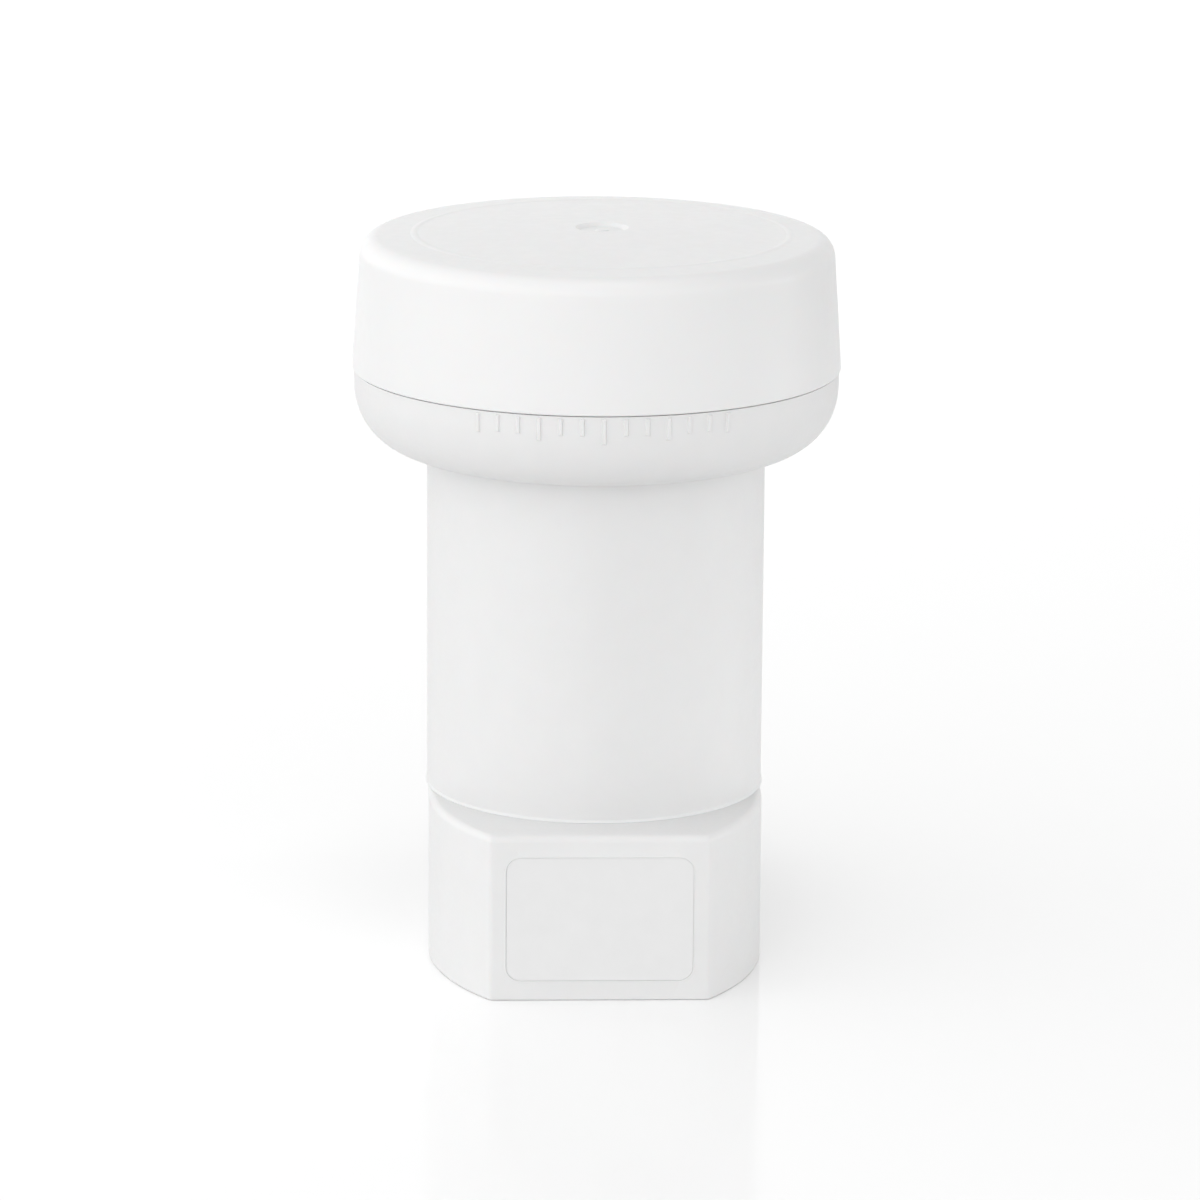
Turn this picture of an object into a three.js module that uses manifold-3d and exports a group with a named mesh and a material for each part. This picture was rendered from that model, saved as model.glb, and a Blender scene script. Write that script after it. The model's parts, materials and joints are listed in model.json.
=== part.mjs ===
// Universal single satellite LNB (low-noise block) with a 40 mm clamp neck, standing on its rear end.
// Millimetres, +Z up. The origin is the point of the rear face that lies on the neck's axis, +Z runs
// along the neck towards the horn cap, -Y is the label side and +Y the cable side.

import * as THREE from "three";
import { mergeVertices } from "three/addons/utils/BufferGeometryUtils.js";
import Module from "manifold-3d";

const wasm = await Module();
wasm.setup();

// ---------------------------------------------------------------- driving dimensions

const NECK_RADIUS = 20; // the standard 40 mm clamp neck
const NECK_WALL = 2;
const BOWL_RADIUS = 28.58; // widest radius of the shroud, under the cap
const BOWL_FOOT_RADIUS = 20.27;
const BOWL_FOOT_Z = 60.63;
const BOWL_EDGE_Z = 68.84; // above this height the bowl's wall is straight
const BOWL_SQUARENESS = 2.217; // exponent of the superellipse of the bowl's section
const SHROUD_TOP_Z = 70.1;
const SPIGOT_RADIUS = 26.9; // the cap pushes over this rim
const SPIGOT_INNER_RADIUS = 25.2;
const SPIGOT_TOP_Z = 74.5;
const SPIGOT_FOOT_RADIUS = 16.2; // inside of the shroud's foot, which drops into the rear housing
const CAP_SEAL_Z = 72;
const NECK_SEAL_Z = 54.6;
const SEAL_GROOVE_HALF = 0.6; // half the height of a groove for an O-ring
const SEAL_GROOVE_DEPTH = 0.9;

const CAP_BOTTOM_Z = 70.31;
const CAP_RADIUS_BOTTOM = 28.8;
const CAP_RADIUS_TOP = 27.93;
const CAP_FILLET = 1.93;
const CAP_EDGE_Z = 85.92; // height of the top face where the edge fillet ends
const CAP_CROWN_Z = 86.9;
const CAP_WALL = 1.5;
const CAP_INNER_RADIUS = 27.25;
const RIDGE_RADIUS = 22.45; // thin ring on the cap's top
const GATE_RADIUS = 3.15; // moulding gate dimple in the middle of the cap
const GATE_DEPTH = 0.4;

const HOUSING_HEIGHT = 19.9;
const HOUSING_WALL = 2;
const HOUSING_HALF_WIDTH = 19.8;
const HOUSING_FRONT = 25.5; // label face, in front of the neck's axis
const LABEL_FACE_HALF_WIDTH = 12.75;
const SIDE_CENTRE_Y = -5.3; // the curved sides are widest at this depth
const EDGE_BEVEL = 0.5;
const NECK_OPENING_RADIUS = 18.2;

const TICK_STEP = 5; // degrees between ticks of the skew scale
const TICK_RANGE = 30;
const TICK_SIZE = [0.45, 1.6]; // width, and depth from inside the wall to the proud face
const TICK_PROUD_RADIUS = 28.83;
const LONG_TICK = 2.9;
const SHORT_TICK = 1.9;
const LONG_TICK_LOSS = 0.023; // a long tick is this much shorter for each degree off the middle

const RECESS_WIDTH = 21.8;
const RECESS_HEIGHT = 14.9;
const RECESS_CENTRE_Z = 9.85;
const RECESS_CORNER = 1.7;
const RECESS_DEPTH = 0.35;
const LABEL_MARGIN = 0.4;

const LID_INSET = 2.3; // from the housing's outline to the lid's edge
const LID_THICKNESS = 2;
const SKIRT_INSET = 3.2; // outside of the lid's skirt, inside the lid seal
const SKIRT_WALL = 1.2;
const SKIRT_TOP_Z = 4.8;
const SEAL_INSET = 2.15;
const COUNTERBORE_RADIUS = 2.5;
const LID_BOSS_RADIUS = 2.4;

const PORT_Z = 10.2; // height of the F connector's axis
const BOSS_RADIUS = 7.4;
const BOSS_START_Y = 15;
const BOSS_END_Y = 32;
const PORT_HOLE_RADIUS = 5.5;
const CONNECTOR_END_Y = 38.4;
const THREAD_RADIUS = 4.72; // 3/8-32 thread
const COLLAR_RADIUS = 5.2;
const SOCKET_RADIUS = 3.5; // bore of the connector, which holds the insulator
const SOCKET_FLOOR_Y = 22;
const CONTACT_RADIUS = 0.95;
const CONTACT_TAIL_RADIUS = 0.4;
const BOOT_WALL = 1.3;

const WAVEGUIDE_BORE = 8.75; // 17.5 mm circular waveguide
const WAVEGUIDE_RADIUS = 11.2;
const WAVEGUIDE_TOP_Z = 60;
const HORN_TOP_Z = 80;
const HORN_SHOULDER_Z = 62.2; // where the dish rests on the throat's collar
const HORN_COLLAR = NECK_RADIUS - NECK_WALL - 0.4;
const THROAT_RADIUS = 12.2;

const BOARD_Z = 13.4; // underside of the circuit board
const BOARD_THICKNESS = 0.8;
const SHIELD_Z = 8.8;
const SHIELD_PLATE = 1.2;
const FLANGE_Z = 14.5; // underside of the casting's flange
const FLANGE_TOP_Z = 17.6;
const FLANGE_INSET = 2.8;
const LEG_RADIUS = 2.3;
const LEG_FOOT_Z = 5.2;
const SCREW_HOLE_RADIUS = 1.3;
const PROBE_RADIUS = 0.64;
const PROBE_FOOT = 13; // distance of a probe's foot from the axis
const PROBE_TIP = 4.4;
const BUSH_RADIUS = 1.9;
const V_PROBE_Z = 21;
const SEPTUM_Z = 25;
const H_PROBE_Z = 29;

const GAP = 0.3; // clearance between pieces that touch
const ROUND = 40; // facets of a large circle
const MEDIUM = 24;
const SMALL = 12;

const LEG_PLACES = [[-9.4, -20.1], [9.4, -20.1], [-10.4, 10.4], [10.4, 10.4]];
const SHIELD_SCREW_PLACES = [[-11.6, -14.6], [11.6, -14.6], [-4.2, 9.6], [4.2, 9.6]];
const RESONATORS = [
  { name: "low", x: -6.8, y: -9, radius: 2.9 },
  { name: "high", x: 6.8, y: -9, radius: 2.6 },
];
const CHIPS = [
  { name: "lna_fet_v", x: 0, y: -10.4, size: [2, 2, 0.9] },
  { name: "lna_fet_h", x: 10.2, y: 0, size: [2, 2, 0.9] },
  { name: "second_stage_fet", x: 4.2, y: -2.6, size: [2, 2, 0.9] },
  { name: "mixer_chip", x: -0.6, y: -3.4, size: [3, 3, 0.9] },
  { name: "bias_chip", x: -9.2, y: -0.6, size: [5.2, 4.4, 1.2] },
  { name: "if_amplifier", x: -1.4, y: 4.2, size: [2.6, 1.8, 1] },
  { name: "regulator", x: 5.4, y: 4.2, size: [4.6, 3.6, 1.5] },
];

// ---------------------------------------------------------------- materials

function finish(color, roughness, metalness = 0) {
  return new THREE.MeshStandardMaterial({ color, roughness, metalness });
}

const FINISHES = {
  cap: finish(0xf3f3f3, 0.42),
  shell: finish(0xe6e6e7, 0.5),
  label: finish(0xeaeaea, 0.6),
  seal: finish(0x7a3b32, 0.75),
  casting: finish(0xb4b7ba, 0.45, 1),
  shield: finish(0xc2c4c6, 0.4, 1),
  steel: finish(0xa9abad, 0.3, 1),
  nickel: finish(0xc8c6c0, 0.22, 1),
  brass: finish(0xc9a14a, 0.3, 1),
  ptfe: finish(0xf2f2ee, 0.5),
  board: finish(0x1f5a35, 0.5),
  chip: finish(0x18181a, 0.5),
  ceramic: finish(0xb98f6a, 0.7),
};

// ---------------------------------------------------------------- geometry helpers

// A closed geometry as a solid that can be joined and cut.
function solidOf(geometry) {
  const bare = geometry.index ? geometry.toNonIndexed() : geometry.clone();
  bare.deleteAttribute("normal");
  bare.deleteAttribute("uv");
  const merged = mergeVertices(bare, 1e-4);
  return new wasm.Manifold(
    new wasm.Mesh({
      numProp: 3,
      vertProperties: merged.attributes.position.array,
      triVerts: new Uint32Array(merged.index.array),
    }),
  );
}

function geometryOf(solid) {
  const mesh = solid.getMesh();
  const geometry = new THREE.BufferGeometry();
  geometry.setAttribute("position", new THREE.BufferAttribute(mesh.vertProperties, 3));
  geometry.setIndex(new THREE.BufferAttribute(mesh.triVerts, 1));
  geometry.computeVertexNormals();
  return geometry;
}

function join(...geometries) {
  return geometryOf(geometries.map(solidOf).reduce((all, next) => all.add(next)));
}

function cut(geometry, ...cutters) {
  return geometryOf(cutters.map(solidOf).reduce((rest, next) => rest.subtract(next), solidOf(geometry)));
}

function common(a, b) {
  return geometryOf(solidOf(a).intersect(solidOf(b)));
}

// A body of revolution about Z from [radius, z] points, open at the axis.
function turned(profile, segments = ROUND) {
  const points = profile.map(([radius, z]) => new THREE.Vector2(radius, z));
  return new THREE.LatheGeometry(points, segments).rotateX(Math.PI / 2);
}

// The same for a ring, whose profile closes on itself.
function ring(profile, segments = ROUND) {
  return turned([...profile, profile[0]], segments);
}

// A rod along Z between two heights.
function rodZ(radius, low, high, x = 0, y = 0, segments = SMALL) {
  return new THREE.CylinderGeometry(radius, radius, high - low, segments)
    .rotateX(Math.PI / 2)
    .translate(x, y, (low + high) / 2);
}

// A rod along Y between two depths.
function rodY(radius, low, high, z = 0, segments = SMALL) {
  return new THREE.CylinderGeometry(radius, radius, high - low, segments).translate(0, (low + high) / 2, z);
}

// Turns a body of revolution about Z into one about the connector's axis, which runs along +Y.
function ontoPort(geometry) {
  return geometry.rotateX(-Math.PI / 2).translate(0, 0, PORT_Z);
}

function block(low, high) {
  const size = high.map((value, i) => value - low[i]);
  const middle = high.map((value, i) => (value + low[i]) / 2);
  return new THREE.BoxGeometry(...size).translate(...middle);
}

function prism(shape, low, high, bevel = 0) {
  const options = {
    depth: high - low - 2 * bevel,
    curveSegments: 6,
    bevelEnabled: bevel > 0,
    bevelThickness: bevel,
    bevelSize: bevel,
    bevelOffset: -bevel,
    bevelSegments: 2,
  };
  return new THREE.ExtrudeGeometry(shape, options).translate(0, 0, low + bevel);
}

// The rear housing's plan outline: a flat label face, curved sides and a back concentric with the neck.
function housingOutline(inset) {
  const halfWidth = HOUSING_HALF_WIDTH - inset;
  const frontY = inset - HOUSING_FRONT;
  const depth = HOUSING_FRONT + SIDE_CENTRE_Y;
  const narrowing = HOUSING_HALF_WIDTH - LABEL_FACE_HALF_WIDTH;
  const sideRadius = (depth ** 2 + narrowing ** 2) / (2 * narrowing);
  const sideCentreX = HOUSING_HALF_WIDTH - sideRadius;
  const insetRadius = sideRadius - inset;
  const cornerX = sideCentreX + Math.sqrt(insetRadius ** 2 - (frontY - SIDE_CENTRE_Y) ** 2);
  const cornerAngle = Math.atan2(frontY - SIDE_CENTRE_Y, cornerX - sideCentreX);
  const backRadius = NECK_RADIUS - inset;
  const backAngle = Math.acos(halfWidth / backRadius);
  const shape = new THREE.Shape();
  shape.moveTo(-cornerX, frontY);
  shape.lineTo(cornerX, frontY);
  shape.absarc(sideCentreX, SIDE_CENTRE_Y, insetRadius, cornerAngle, 0, false);
  shape.absarc(0, 0, backRadius, backAngle, Math.PI - backAngle, false);
  shape.absarc(-sideCentreX, SIDE_CENTRE_Y, insetRadius, Math.PI, Math.PI - cornerAngle, false);
  return shape;
}

function roundedRectangle(width, height, corner) {
  const x = width / 2 - corner;
  const y = height / 2 - corner;
  const shape = new THREE.Shape();
  shape.absarc(x, -y, corner, -Math.PI / 2, 0, false);
  shape.absarc(x, y, corner, 0, Math.PI / 2, false);
  shape.absarc(-x, y, corner, Math.PI / 2, Math.PI, false);
  shape.absarc(-x, -y, corner, Math.PI, 1.5 * Math.PI, false);
  return shape;
}

// A plate facing -Y on the label face, between two depths measured into the housing.
function labelPlate(margin, outerDepth, innerDepth) {
  const width = RECESS_WIDTH - 2 * margin;
  const height = RECESS_HEIGHT - 2 * margin;
  const shape = roundedRectangle(width, height, RECESS_CORNER - margin);
  const options = { depth: innerDepth - outerDepth, curveSegments: 3, bevelEnabled: false };
  return new THREE.ExtrudeGeometry(shape, options)
    .rotateX(Math.PI / 2)
    .translate(0, innerDepth - HOUSING_FRONT, RECESS_CENTRE_Z);
}

// Points of a quarter superellipse from the rim, [rim, edgeZ], to the foot, [foot, edgeZ - drop].
function bowlCurve(rim, foot, edgeZ, drop, steps) {
  const power = 2 / BOWL_SQUARENESS;
  return Array.from({ length: steps + 1 }, (_, i) => {
    const angle = (i / steps) * (Math.PI / 2);
    const out = Math.max(Math.cos(angle), 0) ** power;
    return [foot + (rim - foot) * out, edgeZ - drop * Math.sin(angle) ** power];
  });
}

// ---------------------------------------------------------------- outer shell

// Polarisation scale: raised ticks 5 degrees apart below the cap, longer at every third one.
function skewTicks() {
  const ticks = [];
  const topZ = SHROUD_TOP_Z - 0.2;
  const [width, depth] = TICK_SIZE;
  for (let degrees = -TICK_RANGE; degrees <= TICK_RANGE; degrees += TICK_STEP) {
    const long = degrees % (3 * TICK_STEP) === 0;
    const length = long ? LONG_TICK - LONG_TICK_LOSS * Math.abs(degrees) : SHORT_TICK;
    ticks.push(
      new THREE.BoxGeometry(width, depth, length)
        .translate(0, depth / 2 - TICK_PROUD_RADIUS, topZ - length / 2)
        .rotateZ(THREE.MathUtils.degToRad(degrees)),
    );
  }
  return ticks;
}

// One turned wall: a spigot that drops into the rear housing, the clamp neck, the bowl around the
// horn, and a rim with a groove for the cap's seal and a bead that the cap snaps over.
function frontShroud() {
  const seatZ = HOUSING_HEIGHT + 0.15;
  const spigotFootZ = HOUSING_HEIGHT - HOUSING_WALL;
  const innerNeck = NECK_RADIUS - NECK_WALL;
  const innerEdgeZ = SHROUD_TOP_Z - 0.6;
  const innerFloorZ = BOWL_FOOT_Z + NECK_WALL;
  const outerBowl = bowlCurve(BOWL_RADIUS, BOWL_FOOT_RADIUS, BOWL_EDGE_Z, BOWL_EDGE_Z - BOWL_FOOT_Z, 8);
  const innerBowl = bowlCurve(SPIGOT_INNER_RADIUS, innerNeck + 0.9, innerEdgeZ, innerEdgeZ - innerFloorZ, 5);
  const profile = [
    [SPIGOT_FOOT_RADIUS, spigotFootZ],
    [innerNeck - 0.1, spigotFootZ],
    [innerNeck - 0.1, seatZ],
    [NECK_RADIUS - 0.2, seatZ],
    [NECK_RADIUS, seatZ + 0.2],
    [NECK_RADIUS, BOWL_FOOT_Z - 0.3],
    ...outerBowl.reverse(),
    [BOWL_RADIUS, SHROUD_TOP_Z],
    [SPIGOT_RADIUS, SHROUD_TOP_Z],
    [SPIGOT_RADIUS, CAP_SEAL_Z - SEAL_GROOVE_HALF],
    [SPIGOT_RADIUS - SEAL_GROOVE_DEPTH, CAP_SEAL_Z - SEAL_GROOVE_HALF],
    [SPIGOT_RADIUS - SEAL_GROOVE_DEPTH, CAP_SEAL_Z + SEAL_GROOVE_HALF],
    [SPIGOT_RADIUS, CAP_SEAL_Z + SEAL_GROOVE_HALF],
    [SPIGOT_RADIUS + 0.2, SPIGOT_TOP_Z - 1.1],
    [SPIGOT_RADIUS - 0.3, SPIGOT_TOP_Z],
    [SPIGOT_INNER_RADIUS, SPIGOT_TOP_Z],
    ...innerBowl,
    [innerNeck, innerFloorZ - 1],
    [innerNeck, HOUSING_HEIGHT + 2.3],
    [SPIGOT_FOOT_RADIUS, HOUSING_HEIGHT + 1.3],
  ];
  return join(ring(profile), ...skewTicks());
}

function rearHousing() {
  const outer = prism(housingOutline(0), 0, HOUSING_HEIGHT, EDGE_BEVEL);
  const boss = rodY(BOSS_RADIUS, BOSS_START_Y, BOSS_END_Y, PORT_Z, MEDIUM);
  const cavity = prism(housingOutline(HOUSING_WALL), -1, HOUSING_HEIGHT - HOUSING_WALL);
  const neckOpening = rodZ(NECK_OPENING_RADIUS, HOUSING_HEIGHT - 3, HOUSING_HEIGHT + 1, 0, 0, ROUND);
  const portHole = rodY(PORT_HOLE_RADIUS, BOSS_START_Y - 1, BOSS_END_Y + 1, PORT_Z, MEDIUM);
  const recess = labelPlate(0, -1, RECESS_DEPTH);
  return cut(join(outer, boss), cavity, neckOpening, portHole, recess);
}

function rearLid() {
  const plate = prism(housingOutline(LID_INSET), 0, LID_THICKNESS);
  const skirtInside = prism(housingOutline(SKIRT_INSET + SKIRT_WALL), 0, SKIRT_TOP_Z + 1);
  const skirt = cut(prism(housingOutline(SKIRT_INSET), 1, SKIRT_TOP_Z), skirtInside);
  const bosses = LEG_PLACES.map(([x, y]) => rodZ(LID_BOSS_RADIUS, 1, LEG_FOOT_Z - 0.2, x, y));
  const raised = common(join(skirt, ...bosses), prism(housingOutline(SKIRT_INSET), 1, LEG_FOOT_Z));
  const holes = LEG_PLACES.map(([x, y]) => rodZ(SCREW_HOLE_RADIUS + 0.05, -1, LEG_FOOT_Z + 1, x, y));
  const counterbores = LEG_PLACES.map(([x, y]) => rodZ(COUNTERBORE_RADIUS, -1, LID_THICKNESS - 0.1, x, y));
  return cut(join(plate, raised), ...holes, ...counterbores);
}

function lidSeal() {
  const inside = prism(housingOutline(SKIRT_INSET - 0.1), LID_THICKNESS, SKIRT_TOP_Z);
  return cut(prism(housingOutline(SEAL_INSET), LID_THICKNESS + 0.6, SKIRT_TOP_Z - 1), inside);
}

// ---------------------------------------------------------------- horn and cap

function crownHeight(radius) {
  const filletStart = CAP_RADIUS_TOP - CAP_FILLET;
  return CAP_CROWN_Z - (CAP_CROWN_Z - CAP_EDGE_Z) * (radius / filletStart) ** 2;
}

function hornCap() {
  const filletCentre = CAP_RADIUS_TOP - CAP_FILLET;
  const fillet = [0, 22.5, 45, 67.5].map((degrees) => {
    const angle = THREE.MathUtils.degToRad(degrees);
    return [
      filletCentre + CAP_FILLET * Math.cos(angle),
      CAP_EDGE_Z + CAP_FILLET * (Math.sin(angle) - 1),
    ];
  });
  return turned([
    [0, CAP_CROWN_Z - GATE_DEPTH - CAP_WALL + 0.2],
    [14, crownHeight(14) - CAP_WALL],
    [filletCentre - 1, CAP_EDGE_Z - CAP_WALL],
    [CAP_RADIUS_TOP - CAP_WALL, CAP_EDGE_Z - CAP_WALL - 1.2],
    [CAP_INNER_RADIUS, SPIGOT_TOP_Z + 0.6],
    [CAP_INNER_RADIUS, CAP_BOTTOM_Z],
    [CAP_RADIUS_BOTTOM - 0.25, CAP_BOTTOM_Z],
    [CAP_RADIUS_BOTTOM, CAP_BOTTOM_Z + 0.25],
    ...fillet,
    [filletCentre, CAP_EDGE_Z],
    [RIDGE_RADIUS + 0.4, crownHeight(RIDGE_RADIUS + 0.4)],
    [RIDGE_RADIUS, crownHeight(RIDGE_RADIUS) + 0.15],
    [RIDGE_RADIUS - 0.4, crownHeight(RIDGE_RADIUS - 0.4)],
    [12, crownHeight(12)],
    [GATE_RADIUS, crownHeight(GATE_RADIUS)],
    [GATE_RADIUS - 0.8, CAP_CROWN_Z - GATE_DEPTH],
    [0, CAP_CROWN_Z - GATE_DEPTH],
  ]);
}

// Throat of the feedhorn: a collar on the waveguide and the innermost fin.
function hornThroat() {
  const bore = WAVEGUIDE_RADIUS + 0.15;
  return ring([
    [bore, 50],
    [HORN_COLLAR, 50],
    [HORN_COLLAR, NECK_SEAL_Z - SEAL_GROOVE_HALF],
    [HORN_COLLAR - SEAL_GROOVE_DEPTH, NECK_SEAL_Z - SEAL_GROOVE_HALF],
    [HORN_COLLAR - SEAL_GROOVE_DEPTH, NECK_SEAL_Z + SEAL_GROOVE_HALF],
    [HORN_COLLAR, NECK_SEAL_Z + SEAL_GROOVE_HALF],
    [HORN_COLLAR, HORN_SHOULDER_Z],
    [THROAT_RADIUS, HORN_SHOULDER_Z],
    [THROAT_RADIUS, HORN_TOP_Z - 4],
    [THROAT_RADIUS - 1.2, HORN_TOP_Z - 4],
    [WAVEGUIDE_BORE, 66],
    [WAVEGUIDE_BORE, WAVEGUIDE_TOP_Z + GAP],
    [bore, WAVEGUIDE_TOP_Z + GAP],
  ]);
}

// Corrugated dish of the feedhorn, pressed over the throat: a stepped floor and two concentric fins.
function scalarHorn() {
  const outerFin = 24;
  const fins = [
    { outer: outerFin, inner: 22.4, topZ: HORN_TOP_Z, floorZ: 69 },
    { outer: 18, inner: 16.6, topZ: HORN_TOP_Z - 2, floorZ: 67 },
  ];
  const face = fins.flatMap(({ outer, inner, topZ, floorZ }, i) => {
    const innerEdge = i + 1 < fins.length ? fins[i + 1].outer + 0.5 : THROAT_RADIUS + GAP;
    return [[outer, topZ], [inner, topZ], [inner - 0.4, floorZ], [innerEdge, floorZ]];
  });
  return ring([
    [THROAT_RADIUS + GAP, HORN_SHOULDER_Z + GAP],
    [HORN_COLLAR, HORN_SHOULDER_Z + GAP],
    [HORN_COLLAR + 3, 64],
    [outerFin, 69.5],
    ...face,
  ]);
}

function sealRing(radius, thickness, z, segments = ROUND) {
  return new THREE.TorusGeometry(radius, thickness, 6, segments).translate(0, 0, z);
}

// ---------------------------------------------------------------- receiver

// The aluminium casting: a blind circular waveguide on a flange, with four legs for the lid's screws
// and a rear wall that takes the F connector.
function chassisCasting() {
  const tube = rodZ(WAVEGUIDE_RADIUS, FLANGE_TOP_Z - 1, WAVEGUIDE_TOP_Z, 0, 0, ROUND);
  const flange = prism(housingOutline(FLANGE_INSET), FLANGE_Z, FLANGE_TOP_Z);
  const legs = LEG_PLACES.map(([x, y]) => rodZ(LEG_RADIUS, LEG_FOOT_Z, FLANGE_Z + 1, x, y));
  const rearWall = block([-7, 13.6, 4.8], [7, 18, FLANGE_Z + 1]);
  const lower = common(join(flange, rearWall, ...legs), prism(housingOutline(FLANGE_INSET), 0, FLANGE_TOP_Z));
  const bore = rodZ(WAVEGUIDE_BORE, 16, WAVEGUIDE_TOP_Z + 1, 0, 0, ROUND);
  const bushHoles = [
    rodY(BUSH_RADIUS + 0.15, -12, -8, V_PROBE_Z),
    rodY(BUSH_RADIUS + 0.15, -12, -8, H_PROBE_Z).rotateZ(Math.PI / 2),
  ];
  const septumHole = rodY(0.85, -10.2, 10.2, SEPTUM_Z, 12).rotateZ(Math.PI / 2);
  const probeHoles = [
    rodZ(1.4, 14, FLANGE_TOP_Z + 1, 0, -PROBE_FOOT),
    rodZ(1.4, 14, FLANGE_TOP_Z + 1, PROBE_FOOT, 0),
  ];
  const lidScrewHoles = LEG_PLACES.map(([x, y]) => rodZ(SCREW_HOLE_RADIUS, LEG_FOOT_Z - 0.2, 11, x, y));
  const shieldScrewHoles = SHIELD_SCREW_PLACES.map(([x, y]) => rodZ(SCREW_HOLE_RADIUS, 14, 17, x, y));
  const portHole = rodY(4.15, 13, 19, PORT_Z, MEDIUM);
  return cut(
    join(tube, lower),
    bore,
    septumHole,
    portHole,
    ...bushHoles,
    ...probeHoles,
    ...lidScrewHoles,
    ...shieldScrewHoles,
  );
}

// Outline of the circuit board: corners cut to clear the housing's sides and the casting's legs.
function boardOutline(inset) {
  const half = 15.4 - inset;
  const front = -17.8 + inset;
  const back = 12.8 - inset;
  const right = [
    [half - 2.6, front],
    [half, front + 5.6],
    [half, back - 11.2],
    [half - 11.2, back],
  ];
  const left = right.map(([x, y]) => [-x, y]).reverse();
  return new THREE.Shape([...right, ...left].map(([x, y]) => new THREE.Vector2(x, y)));
}

function circuitBoard() {
  const board = prism(boardOutline(0), BOARD_Z, BOARD_Z + BOARD_THICKNESS);
  return cut(board, ...SHIELD_SCREW_PLACES.map(([x, y]) => rodZ(SCREW_HOLE_RADIUS, 12, 16, x, y)));
}

function shieldCover() {
  const top = BOARD_Z - GAP;
  const foot = SHIELD_Z + 0.2;
  const outline = boardOutline(0.2);
  const plate = prism(outline, SHIELD_Z, SHIELD_Z + SHIELD_PLATE);
  const wall = cut(prism(outline, foot, top), prism(boardOutline(1.4), SHIELD_Z - 1, top + 1));
  const bosses = SHIELD_SCREW_PLACES.map(([x, y]) => rodZ(2.2, foot, top, x, y));
  const divider = block([-0.5, -17, foot], [0.5, -12.2, top]);
  const whole = common(join(plate, wall, divider, ...bosses), prism(outline, SHIELD_Z - 1, top));
  const screwHoles = SHIELD_SCREW_PLACES.map(([x, y]) => rodZ(SCREW_HOLE_RADIUS, foot - 1, top + 1, x, y));
  const tuningHoles = RESONATORS.map(({ x, y }) => rodZ(1.65, SHIELD_Z - 1, SHIELD_Z + 2, x, y));
  const contactNotch = block([-1.6, 9.5, 9.4], [1.6, 14, top + 1]);
  return cut(whole, contactNotch, ...screwHoles, ...tuningHoles);
}

// An L-shaped pin along -Y: a radial leg that reaches into the waveguide and a foot down to the board.
function probePin(z) {
  const radial = rodY(PROBE_RADIUS, -PROBE_FOOT - PROBE_RADIUS, -PROBE_TIP, z, 12);
  return join(radial, rodZ(PROBE_RADIUS, BOARD_Z + BOARD_THICKNESS + 0.1, z, 0, -PROBE_FOOT, 12));
}

function probeBush() {
  return cut(rodY(BUSH_RADIUS, 0.1 - WAVEGUIDE_RADIUS, -9), rodY(PROBE_RADIUS + 0.16, -12, -8, 0, 12));
}

function septumBar() {
  return rodY(0.7, -10, 10, 0, 12);
}

function resonatorPuck(radius) {
  const top = BOARD_Z - 0.1;
  return cut(rodZ(radius, top - 2.2, top, 0, 0, 20), rodZ(0.9, 8, 14, 0, 0, 12));
}

function tuningScrew() {
  const slot = block([-2, -0.25, 7], [2, 0.25, 7.9]);
  return cut(rodZ(1.45, 7.3, 10.6), slot);
}

// A pan-head screw driven upwards: head below headZ, shank up to tipZ, with a cross recess.
function screw(headRadius, shankRadius, baseZ, headZ, tipZ) {
  const body = turned(
    [
      [0, baseZ],
      [headRadius - 0.35, baseZ],
      [headRadius, baseZ + 0.35],
      [headRadius, headZ],
      [shankRadius, headZ],
      [shankRadius, tipZ - 0.9],
      [0.35, tipZ],
      [0, tipZ],
    ],
    SMALL,
  );
  const arm = headRadius * 0.6;
  const depth = (headZ - baseZ) * 0.6;
  const slots = [
    block([-arm, -0.3, baseZ - 1], [arm, 0.3, baseZ + depth]),
    block([-0.3, -arm, baseZ - 1], [0.3, arm, baseZ + depth]),
  ];
  return cut(body, ...slots);
}

// ---------------------------------------------------------------- cable side

function connectorBody() {
  return ontoPort(
    ring(
      [
        [1.6, 13.4],
        [3.9, 13.4],
        [3.9, 18.1],
        [COLLAR_RADIUS, 18.1],
        [COLLAR_RADIUS, 29],
        [COLLAR_RADIUS - 0.65, 29],
        [COLLAR_RADIUS - 0.65, 30.2],
        [COLLAR_RADIUS, 30.2],
        [COLLAR_RADIUS, 31.6],
        [THREAD_RADIUS, 31.9],
        [THREAD_RADIUS, CONNECTOR_END_Y - 0.4],
        [THREAD_RADIUS - 0.4, CONNECTOR_END_Y],
        [SOCKET_RADIUS, CONNECTOR_END_Y],
        [SOCKET_RADIUS, SOCKET_FLOOR_Y],
        [1.6, SOCKET_FLOOR_Y],
      ],
      MEDIUM,
    ),
  );
}

function connectorInsulator() {
  const near = SOCKET_FLOOR_Y + 0.4;
  const far = CONNECTOR_END_Y - 0.8;
  const hole = CONTACT_RADIUS + 0.2;
  const outer = SOCKET_RADIUS - 0.2;
  return ontoPort(ring([[hole, near], [outer, near], [outer, far], [hole, far]], MEDIUM));
}

// The centre contact: a socket for the cable's inner conductor and a tail bent up to the board.
function connectorContact() {
  const socket = rodY(CONTACT_RADIUS, 20, CONNECTOR_END_Y - 1, PORT_Z);
  const hole = rodY(0.5, 30, CONNECTOR_END_Y, PORT_Z, 12);
  const tail = rodY(CONTACT_TAIL_RADIUS, 10.6, 21, PORT_Z, 12);
  const riser = rodZ(CONTACT_TAIL_RADIUS, PORT_Z, BOARD_Z - 0.1, 0, 11, 12);
  return cut(join(socket, tail, riser), hole);
}

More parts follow.
